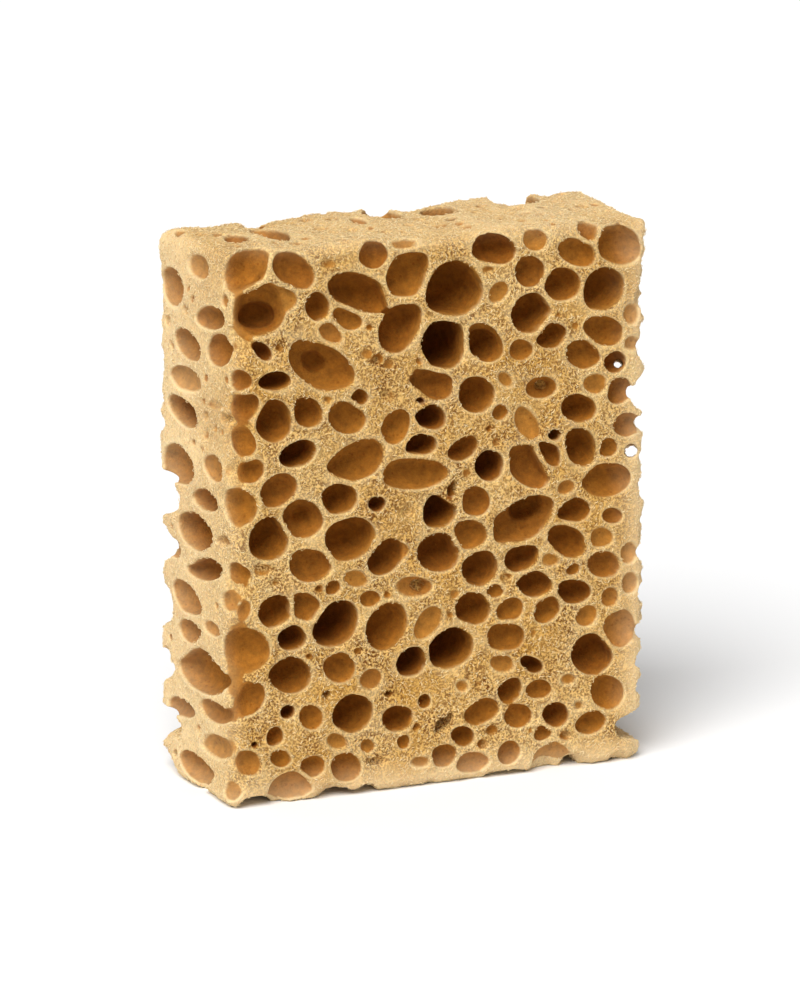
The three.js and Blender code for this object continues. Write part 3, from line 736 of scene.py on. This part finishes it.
def make_block():
    """The uncut block, with its slow unevenness and its worn, rounded edges."""
    bm = bmesh.new()
    bmesh.ops.create_cube(bm, size=1.0)
    bmesh.ops.subdivide_edges(bm, edges=bm.edges[:], cuts=BLOCK_CUTS, use_grid_fill=True)
    for vert in bm.verts:
        across, back, up = (c + 0.5 for c in vert.co)
        point = block_point(across, back, up)
        lump = sum(height * noise.noise(point * pitch) for height, pitch in SIDE_LUMPS)
        inside = 16 * across * (1 - across) * up * (1 - up)
        point.y += min(1, 2 * inside) * wave(point.x, point.z)
        point.x += (2 * across - 1) * lump
        swell = noise.noise(Vector((point.x * TOP_PITCH[0], point.y * TOP_PITCH[1], 7.3)))
        point.z += up * TOP_LUMP * swell
        vert.co = (rounded(point, across, back, up) + Vector((FACE_SHIFT, 0, 0))) * MM
    return object_of_bmesh("uncut_block", bm)


def keep_largest_body(mesh):
    """Removes crumbs that aren't joined to the main body."""
    bm = bmesh.new()
    bm.from_mesh(mesh)
    free = set(bm.verts)
    bodies = []
    while free:
        joined = [free.pop()]
        for vert in joined:
            near = free.intersection(edge.other_vert(vert) for edge in vert.link_edges)
            free -= near
            joined += near
        bodies.append(joined)
    bodies.remove(max(bodies, key=len))
    bmesh.ops.delete(bm, geom=list(itertools.chain(*bodies)), context="VERTS")
    bm.to_mesh(mesh)
    bm.free()


def make_body(sizes, pits, draw):
    """The sponge, the block less its pits, bites and nicks, as one closed surface, and the uncut block."""
    others = edge_bites() + wall_pores(pits, draw) + worn_edges(draw)
    hollows = joined_ovals("hollows", pits, others, sizes.uneven, draw)
    add_modifier(hollows, "REMESH", mode="VOXEL", voxel_size=sizes.voxel)
    apply_modifiers(hollows)
    body = make_block()
    form = BVHTree.FromObject(body, bpy.context.evaluated_depsgraph_get())
    add_modifier(body, "BOOLEAN", operation="DIFFERENCE", solver="MANIFOLD", object=hollows)
    add_modifier(body, "REMESH", mode="VOXEL", voxel_size=sizes.voxel)
    add_modifier(body, "SMOOTH", factor=0.5, iterations=3)
    apply_modifiers(body)
    add_modifier(body, "DECIMATE", ratio=min(1.0, sizes.triangles / (2 * len(body.data.polygons))))
    apply_modifiers(body)
    bpy.data.objects.remove(hollows)
    keep_largest_body(body.data)
    body.data.shade_smooth()
    body.data.materials.clear()
    body.name = BODY_NAME
    return body, form


def fetch(items, field, width=1, kind=float):
    """A field of a mesh's items as an array."""
    values = np.empty(len(items) * width, kind)
    items.foreach_get(field, values)
    return values.reshape(-1, width) if width > 1 else values


def step(values, low, high):
    """A smooth rise from 0 at low to 1 at high."""
    share = np.clip((values - low) / (high - low), 0, 1)
    return share * share * (3 - 2 * share)


def store(mesh, name, values):
    """Keeps one number for each point of a mesh as a named attribute."""
    mesh.attributes.new(name, "FLOAT", "POINT").data.foreach_set("value", values.astype(np.float32))


def mark_surface(mesh, form, pits, draw):
    """Marks each point of the surface, then raises the rims and roughens the skin a little.

    A point keeps its depth in a pit in mm, how near a rim it is, the painted shade of its pit, the pit's own
    tint and how much painted light the skin has near the block's sides, top and base.
    """
    points = fetch(mesh.vertices, "co", 3)
    places = points / MM - (FACE_SHIFT, 0, 0)
    depth = np.array([form.find_nearest(v.co)[3] for v in mesh.vertices]) / MM
    # Painted light: the skin is painted paler towards the block's sides, top and base, less so at the top.
    left = np.interp(places[:, 2], (0, FRONT_TOP[0]), BACK_LEFT)
    sides = np.minimum.reduce([places[:, 0] - left, RIGHT[0] - places[:, 0], places[:, 2],
                               FRONT_TOP[0] + TOP_LESS_PAINTED_LIGHT - places[:, 2]])
    bleached = 1 - step(sides, 0, PAINTED_LIGHT_REACH)
    gap = np.full(len(places), 9.0)
    gloom = np.zeros(len(places))
    tint = np.zeros(len(places))
    painted_pore_shade = np.zeros(len(places))
    within = np.zeros(len(places))
    for pit in sorted(pits, key=lambda pit: pit.small):
        back = np.array(pit.matrix.inverted())
        radius = np.linalg.norm(places @ back[:3, :3].T + back[:3, 3], axis=1)
        away = np.linalg.norm(places - np.array(pit.matrix.translation), axis=1)
        # Small pits are painted dark inside, as shade: they count as sunk and take their pit's painted shade.
        if pit.small:
            inside = 1 - step(radius, 0.75, 1.1)
            painted_pore_shade = np.maximum(painted_pore_shade, inside)
            gloom = np.maximum(gloom, inside * pit.gloom)
            continue
        within = np.maximum(within, 1 - step(radius, *PIT_ENDS))
        distance = np.abs(radius - 1) * away / np.maximum(radius, 0.2)
        closer = distance < gap
        gap[closer] = distance[closer]
        # Painted shade: the walls darken with the pit's depth share and further down, less where the sides are
        # painted pale.
        gloom[closer] = pit.gloom * step(depth[closer] / pit.deep, 0.0, 0.5) * (1 - 0.8 * bleached[closer])
        tint[closer] = draw()
    skin = 1 - step(depth, *SKIN_DEPTHS)
    # The rims get a painted highlight, and are also raised a little.
    rim = skin * (1 - step(gap, *RIM_WIDTHS))
    marks = {"depth": np.maximum(depth * within, painted_pore_shade), "rim": rim, "gloom": gloom, "tint": tint,
             "bleached": bleached}
    for name, values in marks.items():
        store(mesh, name, values)
    rough = np.array([noise.noise(Vector(p) * 0.7) for p in places])
    lift = RIM_HEIGHT * rim + skin * (1 - rim) * (SKIN_ROUGH * rough - SKIN_LOW)
    points += fetch(mesh.vertices, "normal", 3) * (lift * MM)[:, None]
    mesh.vertices.foreach_set("co", points.ravel())
    mesh.update()


def make_fibres(body, sizes, number, source):
    """One piece of the felt of fibres on the skin: thin three-sided tubes thrown over it by area."""
    mesh = body.data
    mesh.calc_loop_triangles()
    corners = fetch(mesh.loop_triangles, "vertices", 3, np.int64)
    depth = fetch(mesh.attributes["depth"].data, "value")
    chance = fetch(mesh.loop_triangles, "area") * (depth[corners].max(1) < FIBRE_DEPTH)
    count = sizes.fibres // FIBRE_PIECES
    chosen = corners[source.choice(len(corners), count, p=chance / chance.sum())]
    shares = source.dirichlet((1, 1, 1), count)[:, :, None]
    places = fetch(mesh.vertices, "co", 3) / MM - (FACE_SHIFT, 0, 0)
    normals = fetch(mesh.vertices, "normal", 3)
    start = (places[chosen] * shares).sum(1)
    out = (normals[chosen] * shares).sum(1)
    out /= np.linalg.norm(out, axis=1, keepdims=True)
    along = np.cross(out, source.normal(size=(count, 3)))
    along /= np.linalg.norm(along, axis=1, keepdims=True)
    length = source.uniform(*FIBRE_LENGTHS, count) * sizes.fibre_length / MM
    rise = source.uniform(*FIBRE_RISE, count)
    bend = source.uniform(*FIBRE_BEND, count)
    thick = source.uniform(*FIBRE_WIDTHS, count) * sizes.fibre_width / 2 / MM
    unit, faces = straight_fibre()
    lift, shift, t = unit.T
    points = start[:, None] + along[:, None] * np.outer(length / 2, t)[:, :, None]
    points += out[:, None] * (np.outer(rise, 1 - 1.6 * t * t) + np.outer(thick, lift))[:, :, None]
    points += np.cross(along, out)[:, None] * (np.outer(bend, 1 - t * t) + np.outer(thick, shift))[:, :, None]
    triangles = (faces[None] + (np.arange(count) * len(unit))[:, None, None]).reshape(-1, 3)
    felt = object_of_arrays(f"fibres_{number}", points.reshape(-1, 3), triangles)
    felt.data.shade_smooth()
    store(felt.data, "tint", np.repeat(source.uniform(0, 1, count), len(unit)))
    # Each fibre takes the painted light of the skin under it.
    bleached = fetch(mesh.attributes["bleached"].data, "value")
    store(felt.data, "bleached", np.repeat(bleached[chosen].mean(1), len(unit)))
    return felt


def add_node(tree, kind, settings=None, links=None):
    """Adds a shader node, sets its fields and input values, and links its inputs from other nodes."""
    node = tree.nodes.new("ShaderNode" + kind)
    for name, value in (settings or {}).items():
        if isinstance(name, str) and hasattr(node, name):
            setattr(node, name, value)
        else:
            node.inputs[name].default_value = value
    for name, (source, output) in (links or {}).items():
        tree.links.new(source.outputs[output], node.inputs[name])
    return node


def set_ramp(ramp, stops):
    """Sets the stops of a colour ramp, each a place and a linear colour."""
    points = ramp.color_ramp.elements
    while len(points) < len(stops):
        points.new(1.0)
    for point, (place, colour) in zip(points, stops):
        point.position = place
        point.color = (*colour, 1.0)


def new_material(name):
    """An empty node material, and what adds a node to it."""
    material = bpy.data.materials.new(name)
    material.use_nodes = True
    material.node_tree.nodes.clear()
    return material, functools.partial(add_node, material.node_tree)


def sponge_material(colours):
    """Dry spongin skeleton, cut and washed: a matt, warm tan crust full of pinholes round brown pits.

    The skin shows as a light net with pores under a millimetre apart, painted dark as their shade. The pits
    are painted darker with depth, as shade, their rims paler, as a highlight, and the block's sides, top and
    base paler, as light.
    """
    material, node = new_material("dry_spongin_cut")
    place = node("TexCoord")
    where = {"Vector": (place, "Object")}
    depth, rim, gloom, tint, bleached = (
        node("Attribute", {"attribute_name": name})
        for name in ("depth", "rim", "gloom", "tint", "bleached"))

    # Fine pores: ragged pinholes painted dark, as their shade, in a light net, stronger in some patches and
    # fainter where the sides are painted paler, as light.
    grit = node("TexNoise", {"Scale": 1 / (PORE_SPACING * MM), "Detail": 3.0, "Roughness": 0.7}, where)
    spot = node("MapRange", {"From Min": 0.43, "From Max": 0.57, "To Min": 1.0, "To Max": 0.0},
                {"Value": (grit, "Fac")})
    patch = node("TexNoise", {"Scale": 1 / (PATCH_WIDTH * MM), "Detail": 3.0}, where)
    often = node("MapRange", {"From Min": 0.35, "From Max": 0.65, "To Min": 0.6, "To Max": 1.0},
                 {"Value": (patch, "Fac")})
    pores_left_by_painted_light = node("MapRange", {"To Min": 1.0, "To Max": 0.35}, {"Value": (bleached, "Fac")})
    strong = node("Math", {"operation": "MULTIPLY"}, {0: (often, 0), 1: (pores_left_by_painted_light, 0)})
    dark = node("Math", {"operation": "MULTIPLY"}, {0: (spot, 0), 1: (strong, 0)})

    # The skin's own colour drifts between honey and cream, and is painted paler on the block's sides as light.
    drift = node("TexNoise", {"Scale": 1 / (DRIFT_WIDTH * MM), "Detail": 4.0}, where)
    tone = node("ValToRGB", None, {"Fac": (drift, "Fac")})
    set_ramp(tone, ((0.34, colours.skin_deep), (0.64, colours.skin_light)))
    skin = node("Mix", {"data_type": "RGBA", 7: (*colours.painted_pore_shade, 1)}, {0: (dark, 0), 6: (tone, "Color")})

    # Inside the pits the colour goes from honey at the mouth to dark brown, painted shade that deepens with
    # each pit's depth share and further down, with a tint of each pit's own.
    inside = node("ValToRGB", None, {"Fac": (gloom, "Fac")})
    set_ramp(inside, ((0.0, colours.mouth), (0.3, colours.wall), (0.65, colours.deep), (1.0, colours.bottom)))
    own = node("MapRange", {"From Min": 0.55, "From Max": 1.0, "To Max": 0.5}, {"Value": (tint, "Fac")})
    tinted = node("Mix", {"data_type": "RGBA", "blend_type": "MULTIPLY", 7: (*colours.tint, 1)},
                  {0: (own, 0), 6: (inside, "Color")})
    mottle = node("TexNoise", {"Scale": 1 / (MOTTLE_WIDTH * MM), "Detail": 4.0, "Roughness": 0.65}, where)
    grain = node("MapRange", {"From Min": 0.3, "From Max": 0.7, "To Min": 0.72, "To Max": 1.28},
                 {"Value": (mottle, "Fac")})
    walls = node("VectorMath", {"operation": "MULTIPLY"}, {0: (tinted, 2), 1: (grain, 0)})
    # Small dots on the walls are painted dark, as the shade of tiny holes.
    holes = node("TexVoronoi", {"Scale": 1 / (DOT_SPACING * MM)}, where)
    dots = node("MapRange", {"From Min": 0.1, "From Max": 0.2, "To Min": 0.6, "To Max": 0.0},
                {"Value": (holes, "Distance")})
    dotted = node("Mix", {"data_type": "RGBA", 7: (*colours.bottom, 1)}, {0: (dots, 0), 6: (walls, 0)})
    sunk = node("MapRange", {"interpolation_type": "SMOOTHSTEP", "From Min": 0.3, "From Max": 0.9},
                {"Value": (depth, "Fac")})
    whole = node("Mix", {"data_type": "RGBA"}, {0: (sunk, 0), 6: (skin, 2), 7: (dotted, 2)})

    # The pits' rims get a paler painted highlight, and the block's sides, top and base are painted paler, as
    # light, less so inside the pits.
    edge = node("Math", {"operation": "MULTIPLY", 1: 0.42}, {0: (rim, "Fac")})
    rim_highlighted = node("Mix", {"data_type": "RGBA", 7: (*colours.rim, 1)}, {0: (edge, 0), 6: (whole, 2)})
    most = node("MapRange", {"To Min": 0.44, "To Max": 0.2}, {"Value": (sunk, 0)})
    painted_side_light_share = node("Math", {"operation": "MULTIPLY"}, {0: (bleached, "Fac"), 1: (most, 0)})
    painted_side_lit = node("Mix", {"data_type": "RGBA", 7: (*colours.bleached, 1)}, {0: (painted_side_light_share, 0), 6: (rim_highlighted, 2)})

    # Relief of the pinholes in the skin, and of the grit on the walls.
    net = node("Math", {"operation": "SUBTRACT"}, {0: (grit, "Fac"), 1: (dark, 0)})
    relief = node("Bump", {"Strength": 0.5, "Distance": 0.4 * MM}, {"Height": (net, 0)})
    surface = node("BsdfPrincipled",
                   {"Roughness": 0.9, "Specular IOR Level": 0.2, "Subsurface Weight": 0.12,
                    "Subsurface Radius": (1.0, 0.5, 0.2), "Subsurface Scale": 1.5 * MM},
                   {"Base Color": (painted_side_lit, 2), "Normal": (relief, 0)})
    node("OutputMaterial", None, {"Surface": (surface, 0)})
    return material


def fibre_material(colours):
    """Dry spongin fibre, as torn by the cut: pale, matt threads of slightly different tans."""
    material, node = new_material("dry_spongin_fibre_torn")
    tint = node("Attribute", {"attribute_name": "tint"})
    tone = node("ValToRGB", None, {"Fac": (tint, "Fac")})
    set_ramp(tone, ((0.0, colours.fibre_deep), (1.0, colours.fibre_light)))
    # Fibres near the block's sides, top and base are painted paler, as light.
    bleached = node("Attribute", {"attribute_name": "bleached"})
    painted_side_light_share = node("Math", {"operation": "MULTIPLY", 1: 0.5}, {0: (bleached, "Fac")})
    painted_side_lit = node("Mix", {"data_type": "RGBA", 7: (*colours.bleached, 1)}, {0: (painted_side_light_share, 0), 6: (tone, "Color")})
    surface = node("BsdfPrincipled", {"Roughness": 0.8, "Specular IOR Level": 0.3},
                   {"Base Color": (painted_side_lit, 2)})
    node("OutputMaterial", None, {"Surface": (surface, 0)})
    return material


def add_sun(name, energy, spread, towards):
    """A distant soft light that shines from a direction."""
    light = bpy.data.lights.new(name, "SUN")
    light.energy = energy
    light.angle = math.radians(spread)
    new_object(name, light).rotation_euler = towards.to_track_quat("Z", "Y").to_euler()


class SPONGE_OT_body(bpy.types.Operator):
    """Builds the sponge's surface with its pits and pores"""

    bl_idname = "sponge.body"
    bl_label = "Sponge body"

    def execute(self, context):
        draw = Random(SCATTER_SEED + 1)
        pits = seen_pits() + hidden_pits()
        pits += extra_pits(pits, draw)
        share_walls(pits)
        body, form = make_body(context.scene.sponge_sizes, pits, draw)
        if not body.data.polygons:
            raise RuntimeError("The pits have left nothing of the block")
        mark_surface(body.data, form, pits, draw)
        body.data.materials.append(sponge_material(context.scene.sponge_colours))
        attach(body, "root")
        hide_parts("sponge")
        return {"FINISHED"}


class SPONGE_OT_fibres(bpy.types.Operator):
    """Lays the felt of fine fibres over the sponge's skin"""

    bl_idname = "sponge.fibres"
    bl_label = "Skin fibres"

    def execute(self, context):
        body = bpy.data.objects.get(BODY_NAME)
        if body is None:
            raise RuntimeError("The fibres need the sponge's body, which isn't built yet")
        source = np.random.default_rng(SCATTER_SEED)
        material = fibre_material(context.scene.sponge_colours)
        for number in range(FIBRE_PIECES):
            felt = make_fibres(body, context.scene.sponge_sizes, number, source)
            felt.data.materials.append(material)
            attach(felt, "root")
        return {"FINISHED"}


class SPONGE_OT_stage(bpy.types.Operator):
    """Builds the pale floor, the soft lights and the camera"""

    bl_idname = "sponge.stage"
    bl_label = "Stage"

    def execute(self, context):
        scene = context.scene
        bm = bmesh.new()
        bmesh.ops.create_grid(bm, x_segments=1, y_segments=1, size=FLOOR_HALF)
        floor = object_of_bmesh("floor", bm)
        # White paper, smooth: an even, matt white that takes a soft shadow.
        paper, node = new_material("white_paper_smooth")
        surface = node("BsdfPrincipled", {"Base Color": (*linear(FLOOR_COLOUR), 1), "Roughness": 0.9})
        node("OutputMaterial", None, {"Surface": (surface, 0)})
        floor.data.materials.append(paper)
        add_sun("key", KEY_STRENGTH, KEY_SPREAD, direction(*KEY_ANGLES))
        scene.world = bpy.data.worlds.new("studio")
        scene.world.use_nodes = True
        sky = scene.world.node_tree.nodes["Background"]
        sky.inputs["Color"].default_value = (1, 1, 1, 1)
        sky.inputs["Strength"].default_value = FILL_STRENGTH
        scene.view_settings.view_transform = "Standard"
        camera = new_object("camera", bpy.data.cameras.new("camera"))
        target = Vector((CAMERA_TARGET[0] + FACE_SHIFT, *CAMERA_TARGET[1:])) * MM
        back = direction(*CAMERA_ANGLES)
        camera.location = target + back * CAMERA_DISTANCE * MM
        camera.rotation_euler = back.to_track_quat("Z", "Y").to_euler()
        camera.data.lens = CAMERA_LENS
        camera.data.clip_start = 0.01
        scene.camera = camera
        return {"FINISHED"}


class SPONGE_PT_panel(bpy.types.Panel):
    """Lists the sponge's sizes, colours and operators"""

    bl_idname = "SPONGE_PT_panel"
    bl_label = "Sponge"
    bl_space_type = "VIEW_3D"
    bl_region_type = "UI"
    bl_category = "Sponge"

    def draw(self, context):
        for group in (context.scene.sponge_sizes, context.scene.sponge_colours):
            for name in group.__annotations__:
                self.layout.prop(group, name)
        for operator in OPERATORS:
            self.layout.operator(operator.bl_idname)


OPERATORS = (SPONGE_OT_body, SPONGE_OT_fibres, SPONGE_OT_stage)
CLASSES = (SpongeSizes, SpongeColours, *OPERATORS, SPONGE_PT_panel)


def register():
    """Adds the sponge's properties, operators and panel."""
    for cls in CLASSES:
        bpy.utils.register_class(cls)
    bpy.types.Scene.sponge_sizes = PointerProperty(type=SpongeSizes)
    bpy.types.Scene.sponge_colours = PointerProperty(type=SpongeColours)


def unregister():
    """Removes the sponge's properties, operators and panel."""
    del bpy.types.Scene.sponge_colours
    del bpy.types.Scene.sponge_sizes
    for cls in reversed(CLASSES):
        bpy.utils.unregister_class(cls)


def main():
    """Registers the add-on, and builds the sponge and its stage."""
    register()
    bpy.ops.sponge.body()
    bpy.ops.sponge.fibres()
    bpy.ops.sponge.stage()


if __name__ == "__main__":
    main()
